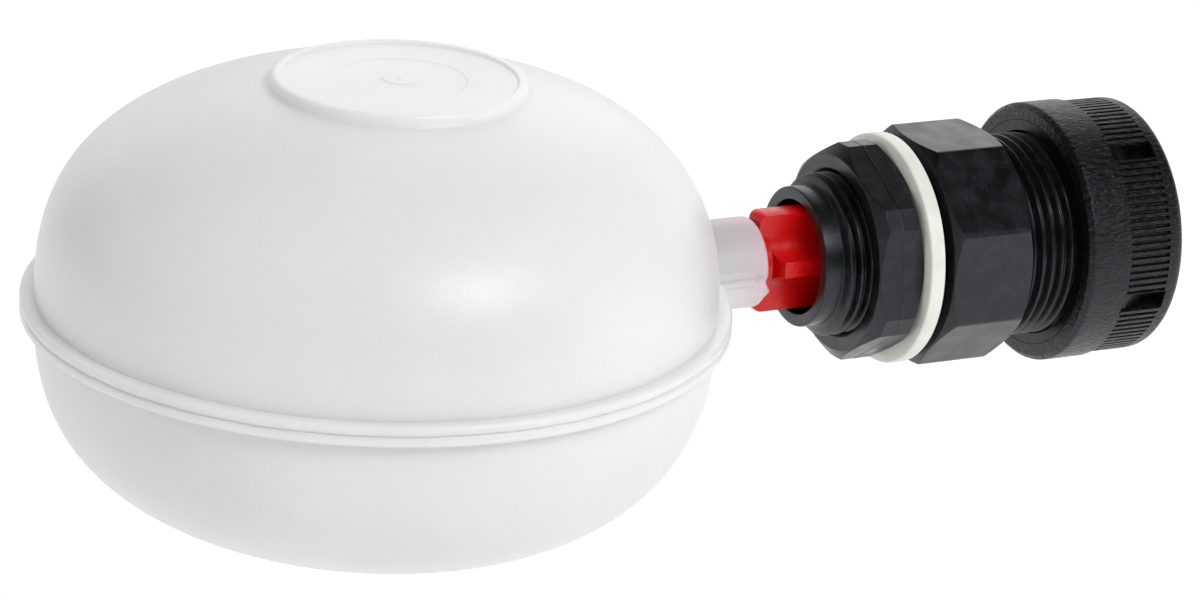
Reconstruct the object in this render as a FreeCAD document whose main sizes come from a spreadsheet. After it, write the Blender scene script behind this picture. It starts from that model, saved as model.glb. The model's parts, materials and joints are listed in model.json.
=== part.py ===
import FreeCAD, Part
import Sketcher
import math
import os
import re

# Float level switch for the side wall of a tank, in millimetres.
# Frame: X runs along the fitting from the float towards the cable end, Z is up as mounted,
# and the origin is the centre of the face that seals against the tank's wall.

V = FreeCAD.Vector
ALONG_X = FreeCAD.Rotation(V(0, 1, 0), 90)      # turns a cylinder's own Z axis to +X
ALONG_Y = FreeCAD.Rotation(V(1, 0, 0), -90)     # turns a cylinder's own Z axis to +Y

doc = FreeCAD.newDocument("FloatLevelSwitch")

# ---------------------------------------------------------------- sizes

SIZES = [
    # threads: G 1 on the nose and G 1 1/4 at the rear share one pitch
    ("threadPitch", 2.309, "pitch of both threads"),
    ("threadDepth", 1.479, "radial depth of both threads"),
    ("noseThreadDia", 33.25, "crest diameter of the nose thread"),
    ("rearThreadDia", 41.91, "crest diameter of the rear thread"),
    ("threadPlay", 0.3, "radial room between a crest and a nut's plain bore"),
    ("runout", 1.6, "plain length beside a shoulder"),
    # moulded body
    ("noseLength", 24.5, "sealing face to mouth"),
    ("leadDia", 28.6, "plain lead in front of the nose thread"),
    ("leadLength", 4.0, "length of that lead"),
    ("leadChamfer", 0.6, "chamfer on the mouth's outer edge"),
    ("boreDia", 23.5, "wet bore that the lever swings in"),
    ("boreDepth", 33.0, "mouth to the partition"),
    ("partitionWall", 2.5, "wall between the wet bore and the dry chamber"),
    ("octagonAcross", 46.0, "across the octagon's flats"),
    ("octagonLength", 18.2, "length of the octagon"),
    ("octagonChamfer", 1.3, "axial depth of the octagon's end chamfers"),
    ("rearLength", 26.0, "octagon to the rear end"),
    ("chamberDia", 32.0, "dry chamber"),
    # lever and its pivot
    ("pivotBack", 12.0, "pivot behind the mouth"),
    ("pinDia", 4.0, "pivot pin"),
    ("pinLength", 29.0, "length of the pivot pin"),
    ("pinPlay", 0.05, "radial running fit of the bushes on the pin"),
    ("bushWall", 0.8, "wall of a pivot bush"),
    ("bushLength", 7.5, "length of a pivot bush"),
    ("bossDia", 9.6, "lever boss round the pivot"),
    ("bossLength", 20.6, "length of that boss across the bore"),
    ("leverDia", 21.0, "envelope of the lever's tall ribs"),
    ("ribThick", 4.9, "thickness of the tall ribs"),
    ("sideRibThick", 3.4, "thickness of the side ribs"),
    ("sideRibWidth", 14.2, "width over the side ribs"),
    ("ribFront", 9.4, "ribs in front of the mouth"),
    ("ribRound", 1.6, "rounding of the ribs' front end"),
    ("tailBack", 16.5, "pivot to the end of the tail"),
    ("tailDrop", 3.0, "how much lower the ribs are behind the pivot"),
    ("magnetDia", 8.0, "magnet in the lever's tail"),
    ("magnetLength", 4.5, "length of the magnet"),
    ("magnetWall", 1.7, "wall round the magnet"),
    ("capThick", 1.0, "cap behind the magnet"),
    ("stemDia", 12.6, "stem that goes into the float's neck"),
    ("stemLength", 12.0, "length of the stem"),
    ("stemSealDia", 1.8, "section of the stem's seal ring"),
    # float
    ("floatReach", 90.4, "mouth to the float's middle"),
    ("floatRadius", 65.8, "radius of the float at its equator"),
    ("floatHeight", 44.2, "half height of the float without its raised ring"),
    ("floatFullness", 2.67, "exponent of the float's oval, 2 is an ellipse"),
    ("floatWall", 2.0, "wall of the float"),
    ("rimRadius", 68.5, "radius over the welded rim"),
    ("rimHalf", 2.0, "height of each half's rim flange"),
    ("rimRound", 0.8, "rounding of the rim's outer edges"),
    ("crownRadius", 24.6, "outer radius of the raised ring on the dome"),
    ("crownRise", 1.2, "height of the ring above the oval's top"),
    ("crownShift", 2.9, "how far the ring lies off the float's middle, towards the neck"),
    ("crownWidth", 2.2, "width of the raised ring"),
    ("crownDish", 0.7, "depth of the flat inside the ring"),
    ("gateRadius", 3.4, "radius of the gate mark"),
    ("gateRise", 0.3, "height of the gate mark"),
    ("neckDia", 18.4, "neck that holds the stem"),
    ("neckFront", 0.6, "neck's end in front of the ribs' end"),
    ("neckRound", 0.8, "rounding of the neck's end"),
    ("seamWidth", 0.7, "weld seam standing out of the neck"),
    ("seamHalf", 1.5, "half height of that seam"),
    ("stemPlay", 0.1, "radial room round the stem"),
    # nose nut and gasket
    ("gasketDia", 47.5, "sealing ring"),
    ("gasketThick", 3.2, "thickness of the sealing ring"),
    ("gasketRoom", 2.4, "sealing face to the ring, as it lies"),
    ("nutAcross", 41.0, "across the lock nut's flats"),
    ("nutCorners", 44.8, "across its cut corners"),
    ("nutLength", 10.0, "length of the lock nut"),
    ("nutChamfer", 1.6, "axial depth of its end chamfers"),
    # rear nut
    ("ringBack", 11.3, "octagon to the coupling nut, as it is screwed on"),
    ("gripDia", 53.8, "textured band of the grip ring"),
    ("bandLength", 9.5, "length of the textured band"),
    ("bandChamfer", 0.9, "chamfer at the grip ring's front edge"),
    ("knurlDia", 52.8, "over the knurl's ribs"),
    ("knurlDepth", 0.55, "depth of the knurl"),
    ("knurlLength", 9.5, "length of the knurl"),
    ("endLength", 3.6, "smooth band behind the knurl"),
    ("endRound", 2.8, "rounding of the rear edge"),
    ("unionDia", 46.8, "outside of the inner nut"),
    ("unionPlay", 0.1, "radial room between the inner nut and the grip ring"),
    ("unionWall", 2.5, "rear wall of the inner nut"),
    ("unionHole", 23.0, "hole in that wall"),
    ("gripHole", 28.0, "hole in the grip ring's rear wall"),
    ("windowWidth", 4.3, "width of a snap window"),
    ("windowLength", 10.3, "length of a snap window"),
    ("windowFront", 9.0, "front face to a window"),
    ("hookRise", 2.3, "height of a snap hook"),
    ("hookLength", 6.4, "length of a snap hook"),
    ("hookPlay", 0.35, "room round a snap hook"),
    # cable end
    ("sealFlange", 1.3, "flange of the cable seal"),
    ("sealFlangeDia", 38.0, "diameter of that flange"),
    ("sealPlug", 10.0, "part of the seal inside the chamber"),
    ("sealPlay", 0.1, "radial room round the seal's plug"),
    ("cableHole", 9.0, "hole for the cable"),
    ("slipThick", 1.4, "slip ring"),
    ("slipHole", 24.0, "hole in the slip ring"),
    ("slipPlay", 0.2, "room each side of the slip ring"),
    # dry chamber
    ("spacerLength", 5.2, "spacer between the partition and the board"),
    ("spacerWall", 2.4, "wall of the spacer"),
    ("chamberPlay", 0.2, "radial room round what lies in the chamber"),
    ("boardThick", 1.6, "circuit board"),
    ("screwCircle", 23.2, "circle of the board's screws"),
    ("screwDia", 2.2, "board screw"),
    ("screwHeadDia", 4.0, "its head"),
    ("screwHead", 1.5, "height of its head"),
    ("screwLength", 5.0, "length under its head"),
    ("reedDia", 2.6, "glass of the reed switch"),
    ("reedLength", 14.0, "length of the glass"),
    ("reedFront", 2.6, "partition to the reed's axis"),
    ("leadWire", 0.6, "diameter of a lead"),
    ("leadReach", 9.4, "reed's middle to where a lead bends"),
    ("poleStep", 5.08, "terminal spacing"),
    ("blockLength", 10.0, "terminal block along X"),
    ("blockHeight", 10.0, "terminal block along Z"),
    ("clampSize", 3.6, "side of a terminal clamp"),
    ("terminalScrewDia", 2.6, "terminal screw"),
]
COUNTS = [
    ("knurlRibs", 108, "ribs round the grip ring"),
    ("windows", 5, "snap windows round the grip ring"),
    ("poles", 3, "terminals"),
]
WINDOW_PHASE = 35.5      # degrees from +Z towards -Y to the first window
NUT_PHASE = 5            # degrees from +Z towards +Y to a corner of the lock nut
WORKED_OUT = [
    ("mouthX", "-noseLength"),
    ("octagonEnd", "octagonLength"),
    ("rearEnd", "octagonLength + rearLength"),
    ("pivotX", "pivotBack - noseLength"),
    ("ribStart", "-noseLength - ribFront"),
    ("neckEnd", "-noseLength - ribFront - neckFront"),
    ("stemEnd", "-noseLength - ribFront - stemLength"),
    ("stemMiddle", "-noseLength - ribFront - stemLength / 2"),
    ("tailEnd", "pivotBack - noseLength + tailBack"),
    ("tailStart", "pivotBack - noseLength + tailBack - capThick - magnetLength - magnetWall"),
    ("floatX", "-noseLength - floatReach"),
    ("boreEnd", "boreDepth - noseLength"),
    ("chamberStart", "boreDepth - noseLength + partitionWall"),
    ("noseRadius", "noseThreadDia / 2"),
    ("rearRadius", "rearThreadDia / 2"),
    ("bushOuter", "pinDia / 2 + pinPlay + bushWall"),
    ("tailRadius", "magnetDia / 2 + magnetWall"),
    ("gasketBack", "-gasketRoom"),
    ("gasketFront", "-gasketRoom - gasketThick"),
    ("nutFront", "-gasketRoom - gasketThick - nutLength"),
    ("ringFront", "octagonLength + ringBack"),
    ("bandEnd", "octagonLength + ringBack + bandLength"),
    ("knurlEnd", "octagonLength + ringBack + bandLength + knurlLength"),
    ("ringEnd", "octagonLength + ringBack + bandLength + knurlLength + endLength"),
    ("slipStart", "octagonLength + rearLength + sealFlange + slipPlay"),
    ("wallStart", "octagonLength + rearLength + sealFlange + 2 * slipPlay + slipThick"),
    ("unionEnd", "octagonLength + rearLength + sealFlange + 2 * slipPlay + slipThick + unionWall"),
    ("boardFront", "boreDepth - noseLength + partitionWall + spacerLength"),
    ("boardBack", "boreDepth - noseLength + partitionWall + spacerLength + boardThick"),
]

sheet = doc.addObject("Spreadsheet::Sheet", "sizes")
rows = [(name, str(value), note) for name, value, note in SIZES + COUNTS]
rows += [(name, "=" + formula, "worked out") for name, formula in WORKED_OUT]
for number, (name, content, note) in enumerate(rows, start=1):
    sheet.set(f"A{number}", name)
    sheet.set(f"B{number}", content)
    sheet.set(f"C{number}", note)
    sheet.setAlias(f"B{number}", name)
doc.recompute()
NAMES = {name for name, _, _ in rows}


def bound(text):
    """The text with every size named in it pointing at its cell."""
    return re.sub(r"[A-Za-z]\w*", lambda word: "sizes." + word[0] if word[0] in NAMES else word[0], text)


def size(text):
    """The present value of an expression of sizes."""
    return float(sheet.evalExpression(bound(text)))


POLES = round(size("poles"))


# ---------------------------------------------------------------- helpers

def newBody(label):
    body = doc.addObject("PartDesign::Body", label)
    body.Label = label
    return body


def originPlane(body, role):
    return next(item for item in body.Origin.OriginFeatures if item.Role == role)


def arcThrough(start, end, radius, side):
    """Minor arc from start to end with its centre on the left (side 1) or right (side -1)."""
    chord = end - start
    left = V(-chord.y, chord.x, 0).normalize()
    drop = math.sqrt(max(radius ** 2 - (chord.Length / 2) ** 2, 0))
    centre = (start + end) / 2 + left * (side * drop)
    middle = centre - left * (side * radius)
    return Part.Arc(start, middle, end) if side > 0 else Part.Arc(end, middle, start)


def outline(body, name, plane, corners, offset=None):
    """Closed sketch whose corners are pairs of expressions.

    A corner with two more entries, a radius and a side, starts an arc instead of a line.
    """
    sketch = body.newObject("Sketcher::SketchObject", name)
    sketch.AttachmentSupport = [(originPlane(body, plane), "")]
    sketch.MapMode = "FlatFace"
    if offset:
        sketch.setExpression("AttachmentOffset.Base.z", bound(offset))
    points = [V(size(corner[0]), size(corner[1]), 0) for corner in corners]
    ends = []
    for index, corner in enumerate(corners):
        start, end = points[index], points[(index + 1) % len(points)]
        if len(corner) == 2:
            sketch.addGeometry(Part.LineSegment(start, end))
            ends.append((1, 2))
        else:
            sketch.addGeometry(arcThrough(start, end, size(corner[2]), corner[3]))
            ends.append((1, 2) if corner[3] > 0 else (2, 1))
    for index, corner in enumerate(corners):
        following = (index + 1) % len(corners)
        sketch.addConstraint(Sketcher.Constraint(
            "Coincident", index, ends[index][1], following, ends[following][0]))
        for kind, text in (("DistanceX", corner[0]), ("DistanceY", corner[1])):
            place = sketch.addConstraint(Sketcher.Constraint(
                kind, -1, 1, index, ends[index][0], size(text)))
            sketch.setExpression(f"Constraints[{place}]", bound(text))
        if len(corner) > 2:
            place = sketch.addConstraint(Sketcher.Constraint("Radius", index, size(corner[2])))
            sketch.setExpression(f"Constraints[{place}]", bound(corner[2]))
    return sketch


def turned(body, name, corners):
    """Solid of revolution about X; corners are (X, radius)."""
    feature = body.newObject("PartDesign::Revolution", name)
    feature.Profile = outline(body, name + "Sketch", "XZ_Plane", corners)
    feature.ReferenceAxis = (feature.Profile[0], ["H_Axis"])
    feature.Angle = 360
    return feature


def turnedAway(body, name, corners):
    """Cut of revolution about X; corners are (X, radius)."""
    feature = body.newObject("PartDesign::Groove", name)
    feature.Profile = outline(body, name + "Sketch", "XZ_Plane", corners)
    feature.ReferenceAxis = (feature.Profile[0], ["H_Axis"])
    feature.Angle = 360
    return feature


def prism(body, name, plane, corners, start, length, kind="PartDesign::Pad"):
    """Straight pad or pocket from a plane; it begins at start and runs along the plane's normal."""
    feature = body.newObject(kind, name)
    feature.Profile = outline(body, name + "Sketch", plane, corners, offset=start)
    feature.setExpression("Length", bound(length))
    feature.Reversed = kind == "PartDesign::Pocket"
    return feature


def roundHole(body, name, plane, centre, radius, start, length, kind="PartDesign::Pocket"):
    """Round pad or pocket, set out as prism does."""
    sketch = body.newObject("Sketcher::SketchObject", name + "Sketch")
    sketch.AttachmentSupport = [(originPlane(body, plane), "")]
    sketch.MapMode = "FlatFace"
    sketch.setExpression("AttachmentOffset.Base.z", bound(start))
    middle = V(size(centre[0]), size(centre[1]), 0)
    sketch.addGeometry(Part.Circle(middle, V(0, 0, 1), size(radius)))
    for kindOf, text in (("DistanceX", centre[0]), ("DistanceY", centre[1])):
        place = sketch.addConstraint(Sketcher.Constraint(kindOf, -1, 1, 0, 3, size(text)))
        sketch.setExpression(f"Constraints[{place}]", bound(text))
    place = sketch.addConstraint(Sketcher.Constraint("Radius", 0, size(radius)))
    sketch.setExpression(f"Constraints[{place}]", bound(radius))
    feature = body.newObject(kind, name)
    feature.Profile = sketch
    feature.setExpression("Length", bound(length))
    feature.Reversed = kind == "PartDesign::Pocket"
    return feature


def threadRings(body, name, start, end, crest):
    """Rows of thread: V grooves at the thread's pitch between two places on X."""
    first = turnedAway(body, name, [
        (f"{start} + 0.06 * threadPitch", f"{crest} + threadDepth"),
        (f"{start} + 0.06 * threadPitch", crest),
        (f"{start} + 0.44 * threadPitch", f"{crest} - threadDepth"),
        (f"{start} + 0.56 * threadPitch", f"{crest} - threadDepth"),
        (f"{start} + 0.94 * threadPitch", crest),
        (f"{start} + 0.94 * threadPitch", f"{crest} + threadDepth"),
    ])
    rowsCount = f"floor(({end} - ({start})) / threadPitch)"
    pattern = body.newObject("PartDesign::LinearPattern", name + "Rows")
    pattern.Originals = [first]
    pattern.Direction = (first.Profile[0], ["H_Axis"])
    pattern.setExpression("Length", bound(f"({rowsCount} - 1) * threadPitch"))
    pattern.setExpression("Occurrences", bound(rowsCount))
    body.Tip = pattern
    return pattern


def polygonCorners(count, radius, phase):
    """Corners of a regular polygon on Y and Z; phase is from +Z towards +Y in degrees."""
    angles = [phase + 360 * step / count for step in range(count)]
    return [(f"({radius}) * sin({angle})", f"({radius}) * cos({angle})") for angle in angles]


def piece(label, shape, base):
    """Sub-part whose shape is worked out with Part's own functions."""
    feature = doc.addObject("Part::Feature", label)
    feature.Label = label
    feature.Shape = shape
    feature.Placement = FreeCAD.Placement(base, FreeCAD.Rotation())
    return feature


def cylinder(label, radius, length, rotation, base):
    """Part::Cylinder with its sizes and place bound to the sheet."""
    rod = doc.addObject("Part::Cylinder", label)
    rod.Label = label
    rod.setExpression("Radius", bound(radius))
    rod.setExpression("Height", bound(length))
    rod.Placement = FreeCAD.Placement(V(0, 0, 0), rotation)
    for axis, text in zip("xyz", base):
        rod.setExpression(f"Placement.Base.{axis}", bound(text))
    return rod


# ---------------------------------------------------------------- moulded body

def makeSwitchBody():
    body = newBody("switch_body")
    octagon = polygonCorners(8, "octagonAcross / 2 / cos(22.5)", 22.5)
    prism(body, "octagon", "YZ_Plane", octagon, "0 * octagonLength", "octagonEnd")
    turned(body, "sleeves", [
        ("mouthX", "0 * leadDia"),
        ("mouthX", "leadDia / 2 - leadChamfer"),
        ("mouthX + leadChamfer", "leadDia / 2"),
        ("mouthX + leadLength", "leadDia / 2"),
        ("mouthX + leadLength + noseRadius - leadDia / 2", "noseRadius"),
        ("octagonEnd / 2", "noseRadius"),
        ("octagonEnd / 2", "rearRadius"),
        ("rearEnd - leadChamfer", "rearRadius"),
        ("rearEnd", "rearRadius - leadChamfer"),
        ("rearEnd", "0 * leadDia"),
    ])
    turnedAway(body, "frontChamfer", [
        ("0 * octagonChamfer", "octagonAcross / 2"),
        ("octagonChamfer", "octagonAcross / 2 / cos(22.5)"),
        ("octagonChamfer", "octagonAcross"),
        ("0 * octagonChamfer", "octagonAcross"),
    ])
    turnedAway(body, "backChamfer", [
        ("octagonEnd", "octagonAcross / 2"),
        ("octagonEnd", "octagonAcross"),
        ("octagonEnd - octagonChamfer", "octagonAcross"),
        ("octagonEnd - octagonChamfer", "octagonAcross / 2 / cos(22.5)"),
    ])
    turnedAway(body, "wetBore", [
        ("mouthX", "0 * boreDia"),
        ("mouthX", "boreDia / 2 + leadChamfer / 2"),
        ("mouthX + leadChamfer / 2", "boreDia / 2"),
        ("boreEnd", "boreDia / 2"),
        ("boreEnd", "0 * boreDia"),
    ])
    turnedAway(body, "dryChamber", [
        ("chamberStart", "0 * chamberDia"),
        ("chamberStart", "chamberDia / 2"),
        ("rearEnd - leadChamfer", "chamberDia / 2"),
        ("rearEnd", "chamberDia / 2 + leadChamfer"),
        ("rearEnd", "0 * chamberDia"),
    ])
    roundHole(body, "pinHole", "XZ_Plane", ("pivotX", "0 * pinDia"), "pinDia / 2",
              "-noseThreadDia", "2 * noseThreadDia")
    threadRings(body, "noseThread",
                "(mouthX + leadLength + noseRadius - leadDia / 2)", "(0 - runout)", "noseRadius")
    threadRings(body, "rearThread", "(octagonEnd + runout)", "rearEnd", "rearRadius")
    return body


def makePivotPin():
    return cylinder("pivot_pin", "pinDia / 2", "pinLength", ALONG_Y,
                    ("pivotX", "-pinLength / 2", "0 * pinDia"))


# ---------------------------------------------------------------- lever

def makeFloatLever():
    body = newBody("float_lever")
    tall, side = "ribThick / 2", "sideRibThick / 2"
    top, wide = "leverDia / 2", "sideRibWidth / 2"
    hollow = "(sideRibWidth - ribThick) / 2"
    foot = f"({side} + {hollow})"
    prism(body, "ribs", "YZ_Plane", [
        (wide, f"-{side}"),
        (wide, side, hollow, -1),
        (tall, foot),
        (tall, top),
        (f"-{tall}", top),
        (f"-{tall}", foot, hollow, -1),
        (f"-{wide}", side),
        (f"-{wide}", f"-{side}", hollow, -1),
        (f"-{tall}", f"-{foot}"),
        (f"-{tall}", f"-{top}"),
        (tall, f"-{top}"),
        (tall, f"-{foot}", hollow, -1),
    ], "ribStart", "tailEnd - capThick - magnetLength - ribStart")
    turnedAway(body, "ribEnvelope", [
        ("ribStart", f"{top} - ribRound", "ribRound", -1),
        ("ribStart + ribRound", top),
        ("pivotX", top),
        ("tailEnd", f"{top} - tailDrop"),
        ("tailEnd", f"{top} + ribRound"),
        ("ribStart", f"{top} + ribRound"),
    ])
    for name, sign in (("leftRibChamfer", ""), ("rightRibChamfer", "-")):
        prism(body, name, "XY_Plane", [
            ("ribStart", f"{sign}(ribThick / 2)"),
            ("ribStart + ribRound", f"{sign}(ribThick / 2)"),
            ("ribStart + ribRound + ribThick / 2", f"{sign}({wide})"),
            ("ribStart + ribRound + ribThick / 2", f"{sign}({wide} + ribRound)"),
            ("ribStart", f"{sign}({wide} + ribRound)"),
        ], "-sideRibThick", "2 * sideRibThick", "PartDesign::Pocket")
    roundHole(body, "stem", "YZ_Plane", ("0 * stemDia", "0 * stemDia"), "stemDia / 2",
              "stemEnd", "stemLength + ribRound", "PartDesign::Pad")
    turnedAway(body, "sealGroove", [
        ("stemMiddle - stemSealDia / 2 - stemPlay", "stemDia / 2 - 0.75 * stemSealDia"),
        ("stemMiddle + stemSealDia / 2 + stemPlay", "stemDia / 2 - 0.75 * stemSealDia"),
        ("stemMiddle + stemSealDia / 2 + stemPlay", "stemDia / 2 + stemPlay"),
        ("stemMiddle - stemSealDia / 2 - stemPlay", "stemDia / 2 + stemPlay"),
    ])
    roundHole(body, "pivotBoss", "XZ_Plane", ("pivotX", "0 * bossDia"), "bossDia / 2",
              "-bossLength / 2", "bossLength", "PartDesign::Pad")
    roundHole(body, "tailBoss", "YZ_Plane", ("0 * magnetDia", "0 * magnetDia"), "tailRadius",
              "tailStart", "tailEnd - tailStart", "PartDesign::Pad")
    roundHole(body, "bushHole", "XZ_Plane", ("pivotX", "0 * pinDia"), "bushOuter",
              "-bossLength", "2 * bossLength")
    roundHole(body, "magnetPocket", "YZ_Plane", ("0 * magnetDia", "0 * magnetDia"),
              "magnetDia / 2", "tailEnd - capThick - magnetLength", "capThick + magnetLength + runout")
    return body


def makePivotBushes():
    outer = cylinder("bushOutside", "bushOuter", "bushLength", ALONG_Y,
                     ("pivotX", "bossLength / 2 - bushLength", "0 * pinDia"))
    inner = cylinder("bushInside", "pinDia / 2 + pinPlay", "bushLength", ALONG_Y,
                     ("pivotX", "bossLength / 2 - bushLength", "0 * pinDia"))
    return pairOf("pivot_bushes", cutOf("bushSleeve", outer, inner), V(0, 1, 0))


def makeLeverMagnet():
    return cylinder("lever_magnet", "magnetDia / 2", "magnetLength", ALONG_X,
                    ("tailEnd - capThick - magnetLength", "0 * magnetDia", "0 * magnetDia"))


def makeMagnetCap():
    return cylinder("magnet_cap", "magnetDia / 2", "capThick", ALONG_X,
                    ("tailEnd - capThick", "0 * magnetDia", "0 * magnetDia"))


def makeStemSeal():
    body = newBody("stem_seal")
    inner, outer = "stemDia / 2 - 0.75 * stemSealDia", "stemDia / 2 + stemPlay"
    corner = "0.25 * stemSealDia"
    turned(body, "ring", [
        (f"stemMiddle - stemSealDia / 2 + {corner}", inner),
        (f"stemMiddle + stemSealDia / 2 - {corner}", inner, corner, 1),
        ("stemMiddle + stemSealDia / 2", f"{inner} + {corner}"),
        ("stemMiddle + stemSealDia / 2", f"{outer} - {corner}", corner, 1),
        (f"stemMiddle + stemSealDia / 2 - {corner}", outer),
        (f"stemMiddle - stemSealDia / 2 + {corner}", outer, corner, 1),
        ("stemMiddle - stemSealDia / 2", f"{outer} - {corner}"),
        ("stemMiddle - stemSealDia / 2", f"{inner} + {corner}", corner, 1),
    ])
    return body


# ---------------------------------------------------------------- float

def ovalCurve(radius, height, outerReach, innerReach):
    """Spline along an oval r = radius cos^(2/n) t, z = height sin^(2/n) t between two radii."""
    power = 2 / size("floatFullness")
    steps = 28

    def angleAt(reach):
        return math.acos((reach / radius) ** (1 / power))

    start, end = angleAt(outerReach), angleAt(innerReach)
    points = []
    for step in range(steps + 1):
        turn = start + (end - start) * step / steps
        points.append(V(radius * math.cos(turn) ** power, 0, height * math.sin(turn) ** power))
    curve = Part.BSplineCurve()
    curve.interpolate(points)
    return curve.toShape(), points[0], points[-1]


def ovalReachAt(radius, height, level):
    """Radius of the oval at a level above the equator."""
    fullness = size("floatFullness")
    return radius * (1 - (level / height) ** fullness) ** (1 / fullness)


def spun(edges):
    """Solid from a closed chain of edges turned about Z."""
    face = Part.Face(Part.Wire(edges))
    return face.revolve(V(0, 0, 0), V(0, 0, 1), 360)


def chain(points):
    return [Part.LineSegment(a, b).toShape() for a, b in zip(points, points[1:])]


def upperShellShape():
    radius, height, wall = size("floatRadius"), size("floatHeight"), size("floatWall")
    rim, rimHalf, rimRound = size("rimRadius"), size("rimHalf"), size("rimRound")
    ring, ringWidth = size("crownRadius"), size("crownWidth")
    ringTop = height + size("crownRise")
    dish = ringTop - size("crownDish")

    curve, low, high = ovalCurve(radius, height, ovalReachAt(radius, height, rimHalf), 0)
    edge = chain([high, V(0, 0, 0), V(rim, 0, 0), V(rim, 0, rimHalf - rimRound)])
    bend = Part.Arc(V(rim, 0, rimHalf - rimRound),
                    V(rim - rimRound + rimRound * math.cos(math.pi / 4), 0,
                      rimHalf - rimRound + rimRound * math.sin(math.pi / 4)),
                    V(rim - rimRound, 0, rimHalf))
    lip = chain([V(rim - rimRound, 0, rimHalf), low])
    outside = spun(edge + [bend.toShape()] + lip + [curve])

    def crownDisc(radius, bottom, thickness):
        return Part.makeCylinder(radius, thickness, V(size("crownShift"), 0, bottom))

    crown = crownDisc(ring, height / 2, ringTop - height / 2)
    recess = crownDisc(ring - ringWidth, dish, ringTop - dish)
    outside = outside.fuse(crown).cut(recess).fuse(crownDisc(size("gateRadius"), dish, size("gateRise")))

    innerRadius, innerHeight = radius - wall, height - wall
    curve, low, high = ovalCurve(innerRadius, innerHeight, innerRadius, 0)
    inside = spun([curve] + chain([high, V(0, 0, 0), low]))

    reach = size("neckEnd - floatX")
    neckRadius, neckRound = size("neckDia / 2"), size("neckRound")
    neck = Part.makeCylinder(neckRadius, reach - radius / 2, V(radius / 2, 0, 0), V(1, 0, 0))
    endEdge = next(e for e in neck.Edges if abs(e.BoundBox.XMin - reach) + e.BoundBox.XLength < wall / 9)
    neck = neck.makeFillet(neckRound, [endEdge])
    seam = Part.makeBox(reach - neckRound * 2 - radius / 2, size("neckDia + 2 * seamWidth"),
                        size("seamHalf"), V(radius / 2, -size("neckDia / 2 + seamWidth"), 0))
    above = Part.makeBox(reach, 2 * neckRadius, neckRadius, V(0, -neckRadius, 0))
    pocket = Part.makeCylinder(size("stemDia / 2 + stemPlay"), size("neckEnd - stemEnd"),
                               V(size("stemEnd - floatX"), 0, 0), V(1, 0, 0))
    shell = outside.fuse([neck.common(above), seam]).cut([inside, pocket])
    return shell.removeSplitter().Solids[0]


def makeFloatShells():
    upper, centre = upperShellShape(), V(size("floatX"), 0, 0)
    return [piece("float_upper_shell", upper, centre),
            piece("float_lower_shell", upper.mirror(V(0, 0, 0), V(0, 0, 1)), centre)]


# ---------------------------------------------------------------- nose nut and gasket

def makeGasket():
    body = newBody("gasket")
    soft = "runout / 4"
    turned(body, "ring", [
        ("gasketFront", "noseRadius + threadPlay"),
        ("gasketBack", "noseRadius + threadPlay"),
        ("gasketBack", f"gasketDia / 2 - {soft}"),
        (f"gasketBack - {soft}", "gasketDia / 2"),
        (f"gasketFront + {soft}", "gasketDia / 2"),
        ("gasketFront", f"gasketDia / 2 - {soft}"),
    ])
    return body


def makeLocknut():
    body = newBody("locknut")
    hexagon = polygonCorners(6, "nutAcross / 2 / cos(30)", NUT_PHASE)
    prism(body, "hexagon", "YZ_Plane", hexagon, "nutFront", "nutLength")
    turnedAway(body, "corners", [
        ("nutFront", "nutAcross / 2"),
        ("nutFront + nutChamfer", "nutCorners / 2"),
        ("gasketFront - nutChamfer", "nutCorners / 2"),
        ("gasketFront", "nutAcross / 2"),
        ("gasketFront", "nutAcross"),
        ("nutFront", "nutAcross"),
    ])
    turnedAway(body, "bore", [
        ("nutFront", "0 * noseRadius"),
        ("nutFront", "noseRadius + threadPlay + leadChamfer"),
        ("nutFront + leadChamfer", "noseRadius + threadPlay"),
        ("gasketFront", "noseRadius + threadPlay"),
        ("gasketFront", "0 * noseRadius"),
    ])
    return body


# ---------------------------------------------------------------- rear nut

def spoke(angle, halfWidth, inner, outer):
    """Corners on Y and Z of a bar that stands out from X at an angle from +Z towards -Y."""
    corners = []
    for across, out in ((f"-{halfWidth}", inner), (halfWidth, inner),
                        (halfWidth, outer), (f"-{halfWidth}", outer)):
        corners.append((f"{across} * cos({angle}) - ({out}) * sin({angle})",
                        f"({out}) * cos({angle}) + {across} * sin({angle})"))
    return corners


def around(body, feature, count):
    """The feature repeated evenly about X."""
    pattern = body.newObject("PartDesign::PolarPattern", feature.Name + "Around")
    pattern.Originals = [feature]
    pattern.Axis = (feature.Profile[0], ["N_Axis"])
    pattern.Angle = 360
    pattern.setExpression("Occurrences", bound(count))
    body.Tip = pattern
    return pattern


def makeUnionNut():
    body = newBody("union_nut")
    turned(body, "cup", [
        ("ringFront", "rearRadius + threadPlay"),
        ("wallStart", "rearRadius + threadPlay"),
        ("wallStart", "unionHole / 2"),
        ("unionEnd", "unionHole / 2"),
        ("unionEnd", "unionDia / 2"),
        ("ringFront", "unionDia / 2"),
    ])
    hook = prism(body, "hook", "YZ_Plane",
                 spoke(WINDOW_PHASE, "(windowWidth / 2 - hookPlay)", "unionDia / 2 - unionWall / 2",
                       "unionDia / 2 + hookRise"),
                 "ringFront + windowFront + hookPlay", "hookLength")
    pattern = around(body, hook, "windows")
    turnedAway(body, "hookRamps", [
        ("ringFront + windowFront + hookPlay + hookLength / 4", "unionDia / 2 + hookRise"),
        ("ringFront + windowFront + hookPlay + hookLength", "unionDia / 2 + hookRise / 6"),
        ("ringFront + windowFront + hookPlay + hookLength", "unionDia / 2 + 2 * hookRise"),
        ("ringFront + windowFront + hookPlay + hookLength / 4", "unionDia / 2 + 2 * hookRise"),
    ])
    return body


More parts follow.
